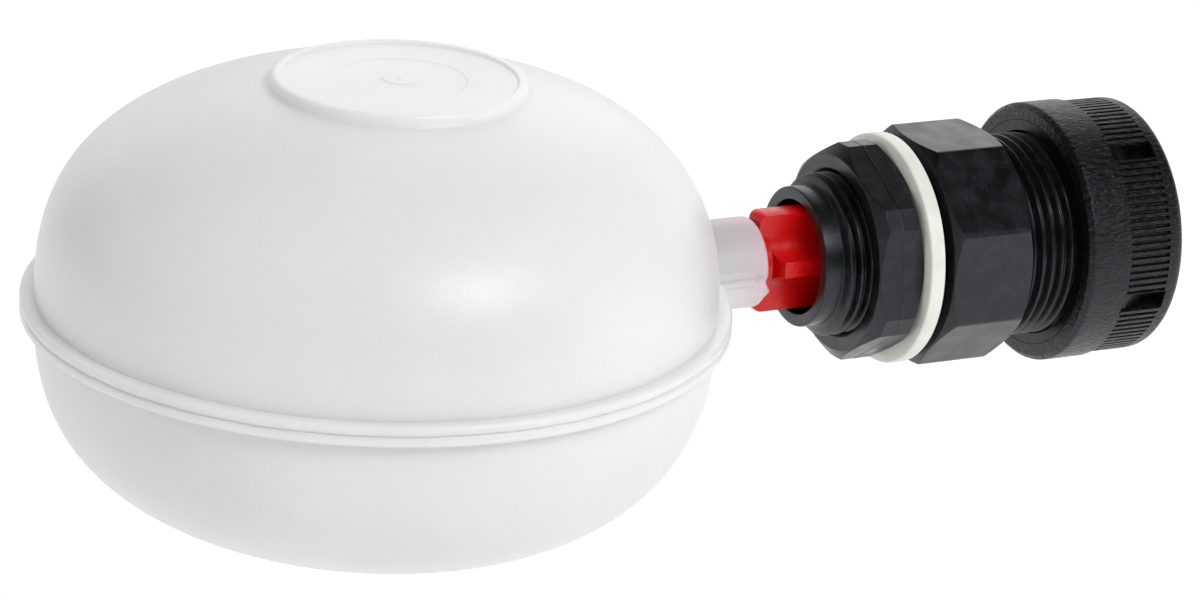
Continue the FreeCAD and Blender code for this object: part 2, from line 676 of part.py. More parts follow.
def makeGripRing():
    body = newBody("grip_ring")
    inner = "unionDia / 2 + unionPlay"
    turned(body, "ring", [
        ("ringFront", inner),
        ("unionEnd", inner),
        ("unionEnd", "gripHole / 2"),
        ("ringEnd", "gripHole / 2"),
        ("ringEnd", "knurlDia / 2 - endRound", "endRound", 1),
        ("ringEnd - endRound", "knurlDia / 2"),
        ("bandEnd", "knurlDia / 2"),
        ("bandEnd", "gripDia / 2"),
        ("ringFront + bandChamfer", "gripDia / 2"),
        ("ringFront", "gripDia / 2 - bandChamfer"),
    ])
    halfPitch = "(knurlDia / 2 * 180 / knurlRibs * 0.01745)"
    valley = prism(body, "knurlValley", "YZ_Plane", [
        ("0 * knurlDia", "knurlDia / 2 - knurlDepth"),
        (f"0.8 * {halfPitch}", "knurlDia / 2 + knurlDepth"),
        (f"-0.8 * {halfPitch}", "knurlDia / 2 + knurlDepth"),
    ], "bandEnd", "knurlLength", "PartDesign::Pocket")
    around(body, valley, "knurlRibs")
    window = prism(body, "window", "YZ_Plane",
                   spoke(WINDOW_PHASE, "(windowWidth / 2)", "unionDia / 2 - unionPlay", "gripDia / 2 + runout"),
                   "ringFront + windowFront", "windowLength", "PartDesign::Pocket")
    around(body, window, "windows")
    return body


def makeSlipRing():
    body = newBody("slip_ring")
    turned(body, "ring", [
        ("slipStart", "slipHole / 2"),
        ("slipStart + slipThick", "slipHole / 2"),
        ("slipStart + slipThick", "sealFlangeDia / 2"),
        ("slipStart", "sealFlangeDia / 2"),
    ])
    return body


def makeCableSeal():
    body = newBody("cable_seal")
    plug = "chamberDia / 2 - sealPlay"
    turned(body, "plug", [
        ("rearEnd - sealPlug", "cableHole / 2"),
        ("rearEnd + sealFlange", "cableHole / 2"),
        ("rearEnd + sealFlange", "sealFlangeDia / 2"),
        ("rearEnd", "sealFlangeDia / 2"),
        ("rearEnd", plug),
        ("rearEnd - sealPlug + sealFlange", plug),
        ("rearEnd - sealPlug", f"{plug} - sealFlange"),
    ])
    return body


# ---------------------------------------------------------------- dry chamber

def cutOf(label, base, tool):
    cut = doc.addObject("Part::Cut", label)
    cut.Base, cut.Tool = base, tool
    return cut


def fuseOf(label, shapes):
    fuse = doc.addObject("Part::MultiFuse", label)
    fuse.Shapes = shapes
    return fuse


def pairOf(label, single, normal):
    """The piece and its mirror image across a plane through the origin, in one node."""
    twin = doc.addObject("Part::Mirroring", label + "Twin")
    twin.Source = single
    twin.Normal = normal
    return groupOf(label, [single, twin])


def groupOf(label, members):
    group = doc.addObject("Part::Compound", label)
    group.Label = label
    group.Links = members
    return group


def makeScrew(name, shankDia, shankLength, head, under, at):
    """Slotted screw along X with its head towards +X; under is where the head begins."""
    headDia, headHeight = head
    shank = cylinder(name + "Shank", f"{shankDia} / 2", shankLength, ALONG_X,
                     (f"{under} - ({shankLength})", at[0], at[1]))
    cap = cylinder(name + "Head", f"{headDia} / 2", headHeight, ALONG_X, (under, at[0], at[1]))
    slot = doc.addObject("Part::Box", name + "Slot")
    for prop, text in (("Length", headHeight), ("Width", headDia), ("Height", f"{headDia} / 5"),
                       ("Placement.Base.x", f"{under} + {headHeight} / 2"),
                       ("Placement.Base.y", f"{at[0]} - {headDia} / 2"),
                       ("Placement.Base.z", f"{at[1]} - {headDia} / 10")):
        slot.setExpression(prop, bound(text))
    return cutOf(name, fuseOf(name + "Blank", [shank, cap]), slot)


def makeBoardSpacer():
    body = newBody("board_spacer")
    outer = "chamberDia / 2 - chamberPlay"
    turned(body, "ring", [
        ("chamberStart", f"{outer} - spacerWall"),
        ("boardFront", f"{outer} - spacerWall"),
        ("boardFront", outer),
        ("chamberStart", outer),
    ])
    for name, sign in (("upperBoss", ""), ("lowerBoss", "-")):
        roundHole(body, name, "YZ_Plane", ("0 * screwDia", f"{sign}screwCircle / 2"), "screwDia",
                  "chamberStart", "boardFront - chamberStart", "PartDesign::Pad")
    for name, sign in (("upperBossHole", ""), ("lowerBossHole", "-")):
        roundHole(body, name, "YZ_Plane", ("0 * screwDia", f"{sign}screwCircle / 2"), "screwDia / 2",
                  "chamberStart", "boardFront - chamberStart")
    return body


def makeCircuitBoard():
    body = newBody("circuit_board")
    roundHole(body, "disc", "YZ_Plane", ("0 * chamberDia", "0 * chamberDia"),
              "chamberDia / 2 - chamberPlay", "boardFront", "boardThick", "PartDesign::Pad")
    holes = (("upperHole", "0 * screwDia", "screwCircle / 2", "screwDia / 2"),
             ("lowerHole", "0 * screwDia", "-screwCircle / 2", "screwDia / 2"),
             ("leftLeadHole", "leadReach", "0 * screwDia", "leadWire / 2"),
             ("rightLeadHole", "-leadReach", "0 * screwDia", "leadWire / 2"))
    for name, across, up, radius in holes:
        roundHole(body, name, "YZ_Plane", (across, up), radius, "boardFront", "boardThick")
    return body


def makeBoardScrews():
    screw = makeScrew("boardScrew", "screwDia", "screwLength", ("screwHeadDia", "screwHead"),
                      "boardBack", ("0 * screwDia", "screwCircle / 2"))
    return pairOf("board_screws", screw, V(0, 0, 1))


def makeReedSwitch():
    body = newBody("reed_switch")
    cap = "reedDia / 2"
    turned(body, "glass", [
        ("-reedLength / 2", "0 * reedDia"),
        ("-reedLength / 2", "leadWire / 2"),
        (f"-reedLength / 2 + {cap} / 2", cap),
        (f"reedLength / 2 - {cap} / 2", cap),
        ("reedLength / 2", "leadWire / 2"),
        ("reedLength / 2", "0 * reedDia"),
    ])
    body.Placement = FreeCAD.Placement(V(0, 0, 0), FreeCAD.Rotation(V(0, 0, 1), 90))
    body.setExpression("Placement.Base.x", bound("chamberStart + reedFront"))
    return body


def makeReedLeads():
    centre = ("chamberStart + reedFront", "0 * leadWire")
    across = cylinder("leadAcross", "leadWire / 2", "leadReach - reedLength / 2", ALONG_Y,
                      (centre[0], "reedLength / 2", centre[1]))
    bend = doc.addObject("Part::Sphere", "leadBend")
    bend.setExpression("Radius", bound("leadWire / 2"))
    bend.setExpression("Placement.Base.x", bound(centre[0]))
    bend.setExpression("Placement.Base.y", bound("leadReach"))
    along = cylinder("leadAlong", "leadWire / 2", "boardBack + leadWire - chamberStart - reedFront", ALONG_X,
                     (centre[0], "leadReach", centre[1]))
    return pairOf("reed_leads", fuseOf("leadBlank", [across, bend, along]), V(0, 1, 0))


def poleAt(number):
    """Place of a terminal across the board, counted from 0."""
    return f"({number} - (poles - 1) / 2) * poleStep"


def makeTerminalBlock():
    body = newBody("terminal_block")
    halfWidth, halfHeight = "(poles * poleStep / 2)", "blockHeight / 2"
    prism(body, "block", "YZ_Plane", [
        (halfWidth, f"-{halfHeight}"), (halfWidth, halfHeight),
        (f"-{halfWidth}", halfHeight), (f"-{halfWidth}", f"-{halfHeight}"),
    ], "boardBack", "blockLength")
    half = "clampSize / 2"
    cell = prism(body, "cell", "YZ_Plane", [
        (f"{poleAt(0)} + {half}", f"-{half}"), (f"{poleAt(0)} + {half}", half),
        (f"{poleAt(0)} - {half}", half), (f"{poleAt(0)} - {half}", f"-{half}"),
    ], "boardBack + runout", "blockLength", "PartDesign::Pocket")
    entry = roundHole(body, "wireEntry", "XY_Plane", (CLAMP_X, poleAt(0)), "clampSize / 3",
                      "0 * blockHeight", "blockHeight")
    row = body.newObject("PartDesign::LinearPattern", "cells")
    row.Originals = [cell, entry]
    row.Direction = (cell.Profile[0], ["H_Axis"])
    row.setExpression("Length", bound("(poles - 1) * poleStep"))
    row.setExpression("Occurrences", bound("poles"))
    body.Tip = row
    return body


CLAMP_X = "boardBack + runout + clampSize / 2"


def makeTerminalClamps():
    clamps = []
    for number in range(POLES):
        block = doc.addObject("Part::Box", f"clampBlock{number}")
        for side in ("Length", "Width", "Height"):
            block.setExpression(side, bound("clampSize"))
        block.setExpression("Placement.Base.x", bound("boardBack + runout"))
        block.setExpression("Placement.Base.y", bound(f"{poleAt(number)} - clampSize / 2"))
        block.setExpression("Placement.Base.z", bound("-clampSize / 2"))
        wire = doc.addObject("Part::Cylinder", f"clampWireHole{number}")
        wire.setExpression("Radius", bound("clampSize / 3"))
        wire.setExpression("Height", bound("2 * clampSize"))
        for axis, text in zip("xyz", (CLAMP_X, poleAt(number), "-clampSize")):
            wire.setExpression(f"Placement.Base.{axis}", bound(text))
        screwHole = cylinder(f"clampScrewHole{number}", "terminalScrewDia / 2", "clampSize", ALONG_X,
                             (CLAMP_X, poleAt(number), "0 * clampSize"))
        clamps.append(cutOf(f"clamp{number}", block, fuseOf(f"clampHoles{number}", [wire, screwHole])))
    return groupOf("terminal_clamps", clamps)


def makeTerminalScrews():
    screws = []
    for number in range(POLES):
        screws.append(makeScrew(
            f"terminalScrew{number}", "terminalScrewDia", "blockLength - 2 * runout - 0.6 * clampSize",
            ("(clampSize - chamberPlay)", "runout"), "boardBack + blockLength - runout",
            (poleAt(number), "0 * clampSize")))
    return groupOf("terminal_screws", screws)


# ---------------------------------------------------------------- build, check, write

subParts = [
    makeSwitchBody(), makePivotPin(),
    makeFloatLever(), makePivotBushes(), makeLeverMagnet(), makeMagnetCap(), makeStemSeal(),
    *makeFloatShells(),
    makeGasket(), makeLocknut(),
    makeUnionNut(), makeGripRing(), makeSlipRing(), makeCableSeal(),
    makeBoardSpacer(), makeCircuitBoard(), makeBoardScrews(), makeReedSwitch(), makeReedLeads(),
    makeTerminalBlock(), makeTerminalClamps(), makeTerminalScrews(),
]
doc.recompute()

for item in doc.Objects:
    if {"Invalid", "Error"} & set(item.State):
        raise RuntimeError(f"{item.Label} failed: {item.State}")
os.makedirs("parts", exist_ok=True)
for part in subParts:
    if part.Shape.isNull() or not part.Shape.isValid():
        raise RuntimeError(f"{part.Label} has no valid shape")
for part in subParts:
    part.Shape.exportStep(f"parts/{part.Label}.step")
    box = part.Shape.BoundBox
    print(f"{part.Label:20s} {len(part.Shape.Solids)} solids {part.Shape.Volume:10.1f} mm3 "
          f"x {box.XMin:7.1f} {box.XMax:6.1f} y {box.YMin:6.1f} {box.YMax:5.1f} "
          f"z {box.ZMin:6.1f} {box.ZMax:5.1f}")
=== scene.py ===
import json
import math

import bmesh
import bpy
import numpy as np
from mathutils import Matrix, Vector


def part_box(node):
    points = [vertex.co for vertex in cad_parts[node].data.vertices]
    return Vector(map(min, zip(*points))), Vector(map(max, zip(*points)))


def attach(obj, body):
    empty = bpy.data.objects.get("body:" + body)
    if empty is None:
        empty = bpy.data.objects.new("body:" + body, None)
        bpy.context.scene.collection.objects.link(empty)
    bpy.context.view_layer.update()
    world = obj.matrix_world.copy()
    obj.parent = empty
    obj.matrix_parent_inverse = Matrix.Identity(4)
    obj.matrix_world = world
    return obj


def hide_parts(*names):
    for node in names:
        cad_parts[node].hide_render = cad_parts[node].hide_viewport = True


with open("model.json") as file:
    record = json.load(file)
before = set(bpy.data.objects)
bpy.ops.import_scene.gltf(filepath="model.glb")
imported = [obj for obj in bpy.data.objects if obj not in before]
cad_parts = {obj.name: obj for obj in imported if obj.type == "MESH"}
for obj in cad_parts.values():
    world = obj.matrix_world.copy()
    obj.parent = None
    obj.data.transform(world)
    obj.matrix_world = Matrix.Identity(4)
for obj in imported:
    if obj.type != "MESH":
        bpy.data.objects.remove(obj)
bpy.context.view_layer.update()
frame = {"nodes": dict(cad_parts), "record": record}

mm = 0.001
fullTurn = 2 * math.pi
bodyOf = {node: body for body, nodes in frame["record"]["behaviour"]["bodies"].items() for node in nodes}
slotOf = {part["node"]: part["material_slot"] for part in frame["record"]["subparts"]}


# Lowest and highest corner of a CAD node in millimetres
def edges(node):
    low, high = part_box(node)
    return np.array(low) / mm, np.array(high) / mm


# camera, first: from the float's side and a little above, as the switch is looked at

camera = {
    "place": (-392.9, -667.6, 273.2),  # millimetres
    "azimuth": -26.0,  # degrees
    "elevation": 20.52,
    "roll": 3.39,
    "lens": 120.0,
    "sensor": 36.0,
}


# Camera whose axes are turned by azimuth and elevation, then rolled about its own view
def makeCamera():
    around, up, roll = (math.radians(camera[name]) for name in ("azimuth", "elevation", "roll"))
    back = Vector((math.sin(around) * math.cos(up), -math.cos(around) * math.cos(up), math.sin(up)))
    right = Vector((math.cos(around), math.sin(around), 0))
    above = back.cross(right)
    tiltedRight = right * math.cos(roll) + above * math.sin(roll)
    tiltedAbove = above * math.cos(roll) - right * math.sin(roll)
    lens = bpy.data.cameras.new("camera")
    lens.lens = camera["lens"]
    lens.sensor_width = camera["sensor"]
    lens.clip_start, lens.clip_end = 0.01, 20
    eye = bpy.data.objects.new("camera", lens)
    turn = Matrix((tiltedRight, tiltedAbove, back)).transposed().to_4x4()
    eye.matrix_world = Matrix.Translation(Vector(camera["place"]) * mm) @ turn
    bpy.context.scene.collection.objects.link(eye)
    bpy.context.scene.camera = eye


makeCamera()
bpy.context.scene.view_settings.view_transform = "Standard"
print("camera placed")


# materials

# Linear colour from an sRGB hex code
def linear(code):
    parts = [int(code[start:start + 2], 16) / 255 for start in (1, 3, 5)]
    return tuple(v / 12.92 if v <= 0.04045 else ((v + 0.055) / 1.055) ** 2.4 for v in parts) + (1.0,)


# Material with a Principled shader whose sockets are set by name; spaces are underscores
def newMaterial(name, **settings):
    material = bpy.data.materials.new(name)
    material.use_nodes = True
    tree = material.node_tree
    shader = tree.nodes["Principled BSDF"]
    for socket, value in settings.items():
        shader.inputs[socket.replace("_", " ")].default_value = value
    return material, tree, shader


# Adds a node, sets its properties and colour stops, sets or links its inputs, and gives one output
def addNode(tree, kind, inputs=None, out=0, stops=(), **settings):
    node = tree.nodes.new(kind)
    for name, value in settings.items():
        setattr(node, name, value)
    for index, (position, code) in enumerate(stops):
        spot = node.color_ramp.elements[index] if index < 2 else node.color_ramp.elements.new(position)
        spot.position, spot.color = position, linear(code)
    for socket, value in (inputs or {}).items():
        if isinstance(value, bpy.types.NodeSocket):
            tree.links.new(value, node.inputs[socket])
        else:
            node.inputs[socket].default_value = value
    return node.outputs[out] if len(node.outputs) else None


# Object coordinates in lumps of a size in millimetres, stretched along each axis
def lumps(tree, size, stretch=(1, 1, 1)):
    place = addNode(tree, "ShaderNodeTexCoord", out="Object")
    return addNode(tree, "ShaderNodeMapping", {"Vector": place, "Scale": tuple(s / mm / size for s in stretch)})


# Bumps on the shader's normal; each height is (value, depth in millimetres, strength).
# An edge width in millimetres shades sharp edges as if they were rounded
def roughen(tree, shader, heights, edge=0.0):
    normal = None
    if edge:
        normal = addNode(tree, "ShaderNodeBevel", {"Radius": edge * mm}, samples=8)
    for value, depth, strength in heights:
        inputs = {"Height": value, "Distance": depth * mm, "Strength": strength}
        if normal:
            inputs["Normal"] = normal
        normal = addNode(tree, "ShaderNodeBump", inputs)
    tree.links.new(normal, shader.inputs["Normal"])


# Natural polypropylene: milky, with the fine orange peel of an etched mould; the neck has painted shade,
# greyer towards its top, and a painted pink cast of the red lever's light towards its end
def makeFloatPlastic():
    material, tree, shader = newMaterial(
        "naturalPolypropylene", Roughness=0.33, IOR=1.49, Subsurface_Weight=0.35,
        Subsurface_Radius=(9 * mm, 9.5 * mm, 10 * mm), Subsurface_Scale=1.0)
    cloud = addNode(tree, "ShaderNodeTexNoise", {"Vector": lumps(tree, 42), "Scale": 1, "Detail": 1.5})
    shell = addNode(tree, "ShaderNodeValToRGB", {"Fac": cloud}, stops=[(0.3, "#E3E5E5"), (0.7, "#EBEDEC")])
    along = addNode(tree, "ShaderNodeSeparateXYZ", {"Vector": lumps(tree, 1)}, out="X")
    height = addNode(tree, "ShaderNodeSeparateXYZ", {"Vector": lumps(tree, 1)}, out="Z")
    # painted shade: the neck's colour greys from below its axis to above it, standing for the shade on its
    # upper side
    raised = addNode(tree, "ShaderNodeMapRange", {"Value": height, "From Min": -9, "From Max": 9})
    tube = addNode(tree, "ShaderNodeValToRGB", {"Fac": raised}, stops=[(0.25, "#E6E6E8"), (0.8, "#B8B8BB")])
    # painted pink cast: the neck is tinted towards the lever's end, standing for the red lever's light showing
    # through it
    paintedLeverCast = addNode(tree, "ShaderNodeMapRange", {
        "Value": along, "From Min": -45, "From Max": -35, "To Max": 0.75})
    neckPaintedShadeAndCast = addNode(tree, "ShaderNodeMix", {0: paintedLeverCast, 6: tube, 7: linear("#D2B4BF")}, out=2, data_type="RGBA")
    onNeck = addNode(tree, "ShaderNodeMapRange", {"Value": along, "From Min": -49, "From Max": -45.5})
    colour = addNode(tree, "ShaderNodeMix", {0: onNeck, 6: shell, 7: neckPaintedShadeAndCast}, out=2, data_type="RGBA")
    tree.links.new(colour, shader.inputs["Base Color"])
    waves = addNode(tree, "ShaderNodeTexNoise", {"Vector": lumps(tree, 9), "Scale": 1, "Detail": 1})
    peel = addNode(tree, "ShaderNodeTexNoise", {"Vector": lumps(tree, 0.55), "Scale": 1, "Detail": 2.5})
    roughen(tree, shader, [(waves, 0.3, 0.12), (peel, 0.08, 0.85)])
    return material


# Glossy red moulding with faint flow lines and tool marks
def makeRedPlastic():
    material, tree, shader = newMaterial("glossyRedMoulding", IOR=1.46)
    drift = addNode(tree, "ShaderNodeTexNoise", {"Vector": lumps(tree, 6), "Scale": 1})
    tone = addNode(tree, "ShaderNodeValToRGB", {"Fac": drift}, stops=[(0.3, "#C40306"), (0.7, "#D0080B")])
    tree.links.new(tone, shader.inputs["Base Color"])
    rubbed = addNode(tree, "ShaderNodeTexNoise", {"Vector": lumps(tree, 1.2), "Scale": 1, "Detail": 3})
    gloss = addNode(tree, "ShaderNodeMapRange", {
        "Value": rubbed, "From Min": 0.3, "From Max": 0.7, "To Min": 0.24, "To Max": 0.36})
    tree.links.new(gloss, shader.inputs["Roughness"])
    lines = addNode(tree, "ShaderNodeTexNoise", {"Vector": lumps(tree, 0.8, (0.15, 1, 1)), "Scale": 1})
    roughen(tree, shader, [(drift, 0.3, 0.1), (lines, 0.04, 0.2)], edge=0.16)
    return material


# Black glass-filled moulding: short pale fibres just under a half-matt skin
def makeGlassFilled():
    material, tree, shader = newMaterial("glassFilledBlack", IOR=1.5, Specular_Tint=linear("#F0F6FF"))
    threads = addNode(tree, "ShaderNodeTexNoise", {
        "Vector": lumps(tree, 0.55), "Scale": 1, "Detail": 3, "Roughness": 0.7, "Distortion": 1.2})
    fibre = addNode(tree, "ShaderNodeValToRGB", {"Fac": threads}, stops=[
        (0.0, "#000000"), (1.0, "#000000"), (0.49, "#000000"), (0.505, "#FFFFFF"), (0.52, "#000000")])
    patchNoise = addNode(tree, "ShaderNodeTexNoise", {"Vector": lumps(tree, 2.4), "Scale": 1})
    patches = addNode(tree, "ShaderNodeMapRange", {"Value": patchNoise, "From Min": 0.45, "From Max": 0.62})
    shown = addNode(tree, "ShaderNodeMath", {0: fibre, 1: patches}, operation="MULTIPLY")
    cloud = addNode(tree, "ShaderNodeTexNoise", {"Vector": lumps(tree, 14), "Scale": 1, "Detail": 3})
    tone = addNode(tree, "ShaderNodeValToRGB", {"Fac": cloud}, stops=[(0.3, "#050506"), (0.7, "#0A0B0C")])
    skin = addNode(tree, "ShaderNodeMix", {0: shown, 6: tone, 7: linear("#44474E")}, out=2, data_type="RGBA")
    tree.links.new(skin, shader.inputs["Base Color"])
    rubbed = addNode(tree, "ShaderNodeTexNoise", {"Vector": lumps(tree, 5), "Scale": 1, "Detail": 3})
    gloss = addNode(tree, "ShaderNodeMapRange", {
        "Value": rubbed, "From Min": 0.3, "From Max": 0.7, "To Min": 0.27, "To Max": 0.4})
    tree.links.new(gloss, shader.inputs["Roughness"])
    sink = addNode(tree, "ShaderNodeTexNoise", {"Vector": lumps(tree, 8), "Scale": 1})
    roughen(tree, shader, [(sink, 0.25, 0.2), (threads, 0.04, 0.5)], edge=0.22)
    return material


# Black grip moulding with the rippled skin of a spark-eroded mould
def makeErodedBlack():
    material, tree, shader = newMaterial("sparkErodedBlack", IOR=1.45, Specular_Tint=linear("#F0F6FF"))
    ripple = addNode(tree, "ShaderNodeTexNoise", {
        "Vector": lumps(tree, 0.75, (0.45, 1, 1)), "Scale": 1,
        "Detail": 3, "Roughness": 0.6, "Distortion": 0.8})
    tone = addNode(tree, "ShaderNodeValToRGB", {"Fac": ripple}, stops=[(0.4, "#020203"), (0.68, "#0B0C0D")])
    tree.links.new(tone, shader.inputs["Base Color"])
    gloss = addNode(tree, "ShaderNodeMapRange", {
        "Value": ripple, "From Min": 0.35, "From Max": 0.7, "To Min": 0.42, "To Max": 0.24})
    tree.links.new(gloss, shader.inputs["Roughness"])
    sink = addNode(tree, "ShaderNodeTexNoise", {"Vector": lumps(tree, 5), "Scale": 1})
    roughen(tree, shader, [(sink, 0.3, 0.2), (ripple, 0.32, 1.0)], edge=0.12)
    return material


# Plain material whose colour clouds between two tones and whose skin has one size of bump
def plainMaterial(name, tones, cloudSize, bumpSize, depth, strength, cloudDetail=3, bumpDetail=2, **settings):
    material, tree, shader = newMaterial(name, **settings)
    cloud = addNode(tree, "ShaderNodeTexNoise", {
        "Vector": lumps(tree, cloudSize), "Scale": 1, "Detail": cloudDetail})
    tone = addNode(tree, "ShaderNodeValToRGB", {"Fac": cloud}, stops=[(0.3, tones[0]), (0.7, tones[1])])
    tree.links.new(tone, shader.inputs["Base Color"])
    if depth:
        skin = addNode(tree, "ShaderNodeTexNoise", {
            "Vector": lumps(tree, bumpSize), "Scale": 1, "Detail": bumpDetail})
        roughen(tree, shader, [(skin, depth, strength)])
    return material, tree, shader


# Plain black moulding, slightly glossy; its colour is darker than the other blacks as painted shade for its
# place deep inside the grip ring's windows
def makeSmoothBlackPaintedShade():
    material, tree, shader = plainMaterial(
        "smoothBlackPaintedShade", ("#020203", "#060607"), 10, 1.5, 0.05, 0.2, bumpDetail=3,
        IOR=1.4, Specular_Tint=linear("#F0F6FF"))
    rubbed = addNode(tree, "ShaderNodeTexNoise", {"Vector": lumps(tree, 3), "Scale": 1, "Detail": 3})
    gloss = addNode(tree, "ShaderNodeMapRange", {
        "Value": rubbed, "From Min": 0.3, "From Max": 0.7, "To Min": 0.26, "To Max": 0.4})
    tree.links.new(gloss, shader.inputs["Roughness"])
    return material


# Bright metal with fine turning lines
def makeTurnedMetal(name, dark, pale, roughness):
    material, tree, shader = newMaterial(name, Metallic=1.0)
    lines = addNode(tree, "ShaderNodeTexNoise", {
        "Vector": lumps(tree, 0.25, (4, 0.3, 0.3)), "Scale": 1, "Detail": 3})
    tone = addNode(tree, "ShaderNodeValToRGB", {"Fac": lines}, stops=[(0.3, dark), (0.7, pale)])
    tree.links.new(tone, shader.inputs["Base Color"])
    gloss = addNode(tree, "ShaderNodeMapRange", {
        "Value": lines, "From Min": 0.3, "From Max": 0.7, "To Min": roughness, "To Max": roughness + 0.15})
    tree.links.new(gloss, shader.inputs["Roughness"])
    roughen(tree, shader, [(lines, 0.01, 0.3)])
    return material


# Green solder-masked laminate with its woven glass showing through
def makeLaminate():
    material, tree, shader = newMaterial("greenBoardLaminate", Roughness=0.32, IOR=1.5)
    weave = addNode(tree, "ShaderNodeTexChecker", {
        "Vector": lumps(tree, 1), "Scale": 1.6, "Color1": linear("#0F4A26"), "Color2": linear("#125530")})
    tree.links.new(weave, shader.inputs["Base Color"])
    skin = addNode(tree, "ShaderNodeTexNoise", {"Vector": lumps(tree, 0.5), "Scale": 1})
    roughen(tree, shader, [(skin, 0.02, 0.3)])
    return material


# Translucent white sealing rubber with a faint cut edge
milkyRubber = plainMaterial(
    "milkySealRubber", ("#DCDBD3", "#EAE9E2"), 7, 2.5, 0.12, 0.3, Roughness=0.38, IOR=1.45,
    Subsurface_Weight=0.3, Subsurface_Scale=1.0, Subsurface_Radius=(3 * mm, 2.8 * mm, 2.3 * mm))[0]
# Soft black rubber with a dusty bloom
blackRubber = plainMaterial(
    "blackSealRubber", ("#101011", "#1B1B1C"), 3, 0.6, 0.05, 0.4, cloudDetail=4, bumpDetail=3,
    Roughness=0.62, IOR=1.5)[0]
# Natural white acetal, waxy
acetal = plainMaterial(
    "naturalAcetal", ("#E0DDD2", "#ECEAE2"), 4, 0.8, 0.03, 0.3, cloudDetail=2, Roughness=0.35, IOR=1.48,
    Subsurface_Weight=0.2, Subsurface_Scale=1.0, Subsurface_Radius=(2 * mm, 2 * mm, 1.6 * mm))[0]
# Greenish lamp glass
reedGlass = plainMaterial(
    "reedGlass", ("#A8CDB2", "#BBDCC4"), 3, 0, 0, 0, cloudDetail=2, Roughness=0.05, IOR=1.5,
    Transmission_Weight=0.85)[0]
# Dull green terminal moulding
terminalPlastic = plainMaterial(
    "terminalMoulding", ("#1D5B3A", "#256A45"), 2, 0.4, 0.03, 0.3, Roughness=0.45, IOR=1.5)[0]

finishes = {
    "float_plastic": makeFloatPlastic(),
    "red_plastic": makeRedPlastic(),
    "fitting_plastic": makeGlassFilled(),
    "grip_plastic": makeErodedBlack(),
    "inner_nut_plastic": makeSmoothBlackPaintedShade(),
    "white_rubber": milkyRubber,
    "black_rubber": blackRubber,
    "bush_plastic": acetal,
    "steel": makeTurnedMetal("stainlessSteel", "#A9ABAC", "#C6C8C9", 0.22),
    "tinned_wire": makeTurnedMetal("tinnedWire", "#B9BABA", "#CFD0CE", 0.28),
    "tinned_brass": makeTurnedMetal("tinnedBrass", "#C2BCA6", "#D4CFBE", 0.3),
    "magnet": makeTurnedMetal("sinteredMagnet", "#4A4A4C", "#5C5C5F", 0.4),
    "board_laminate": makeLaminate(),
    "reed_glass": reedGlass,
    "terminal_plastic": terminalPlastic,
}
print("materials made")


# mesh tools

# Mesh over rings of points, an array (rings, points, 3) in millimetres, each ring closed.
# With poles, the first and last rings close on a point. Without, the last ring joins the first.
# missing marks the cells left out, by ring and point
def closedMesh(name, rings, frontPole=None, backPole=None, missing=None):
    count, width = rings.shape[:2]
    corner = np.arange(count * width).reshape(count, width)
    following = np.roll(corner, -1, axis=1)
    last = count if frontPole is None else count - 1
    ahead = np.roll(corner, -1, axis=0)
    aheadFollowing = np.roll(following, -1, axis=0)
    cells = np.stack([corner, following, aheadFollowing, ahead], axis=-1)[:last]
    if missing is not None:
        cells = cells[~missing[:last]]
    faces = cells.reshape(-1, 4).tolist()
    points = rings.reshape(-1, 3)
    if frontPole is not None:
        points = np.vstack([points, [frontPole, backPole]])
        front, back = count * width, count * width + 1
        faces += np.stack([np.full(width, front), following[0], corner[0]], axis=-1).tolist()
        faces += np.stack([np.full(width, back), corner[-1], following[-1]], axis=-1).tolist()
    mesh = bpy.data.meshes.new(name)
    mesh.from_pydata((points * mm).tolist(), [], faces)
    return mesh


# Finishes a mesh as a piece that stands for CAD nodes: normals out, material, body and slot
def addPiece(name, mesh, nodes, sharp=32, join=()):
    form = bmesh.new()
    form.from_mesh(mesh)
    for other in join:
        form.from_mesh(other)
    bmesh.ops.recalc_face_normals(form, faces=form.faces)
    form.to_mesh(mesh)
    form.free()
    mesh.shade_smooth()
    mesh.set_sharp_from_angle(angle=math.radians(sharp))
    piece = bpy.data.objects.new(name, mesh)
    bpy.context.scene.collection.objects.link(piece)
    mesh.materials.append(finishes[slotOf[nodes[0]]])
    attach(piece, bodyOf[nodes[0]])
    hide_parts(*nodes)
    return piece


# Path through corners (along, out, radius), each with a radius turned into an arc
def rounded(corners, steps=4):
    path = []
    count = len(corners)
    for index, (along, out, radius) in enumerate(corners):
        here = np.array([along, out], float)
        if not radius or index in (0, count - 1):
            path.append(here)
            continue
        before = np.array(corners[index - 1][:2], float) - here
        after = np.array(corners[index + 1][:2], float) - here
        before /= np.linalg.norm(before)
        after /= np.linalg.norm(after)
        half = math.acos(np.clip(before @ after, -1, 1)) / 2
        reach = radius / math.tan(half)
        middle = here + (before + after) / np.linalg.norm(before + after) * radius / math.sin(half)
        start, end = here + before * reach - middle, here + after * reach - middle
        sweep = math.atan2(start[0] * end[1] - start[1] * end[0], start @ end)
        for step in range(steps + 1):
            turn = sweep * step / steps
            path.append(middle + np.array([start[0] * math.cos(turn) - start[1] * math.sin(turn),
                                           start[0] * math.sin(turn) + start[1] * math.cos(turn)]))
    return np.array(path)


# Points at places along X and distances out from it; turns run from +Z towards -Y
def aboutX(along, out, turns):
    along, out = np.broadcast_arrays(along, out)
    return np.stack([along, -out * np.sin(turns), out * np.cos(turns)], axis=-1)


# Distance out to a polygon's sides with slightly rounded corners: a p-norm of the sides' cosines
def polygonOut(turns, sides, across, phase, crisp=140):
    normals = phase + fullTurn * np.arange(sides) / sides
    cosines = np.maximum(np.cos(turns[:, None] - normals), 0)
    return across / 2 / (cosines ** crisp).sum(axis=1) ** (1 / crisp)


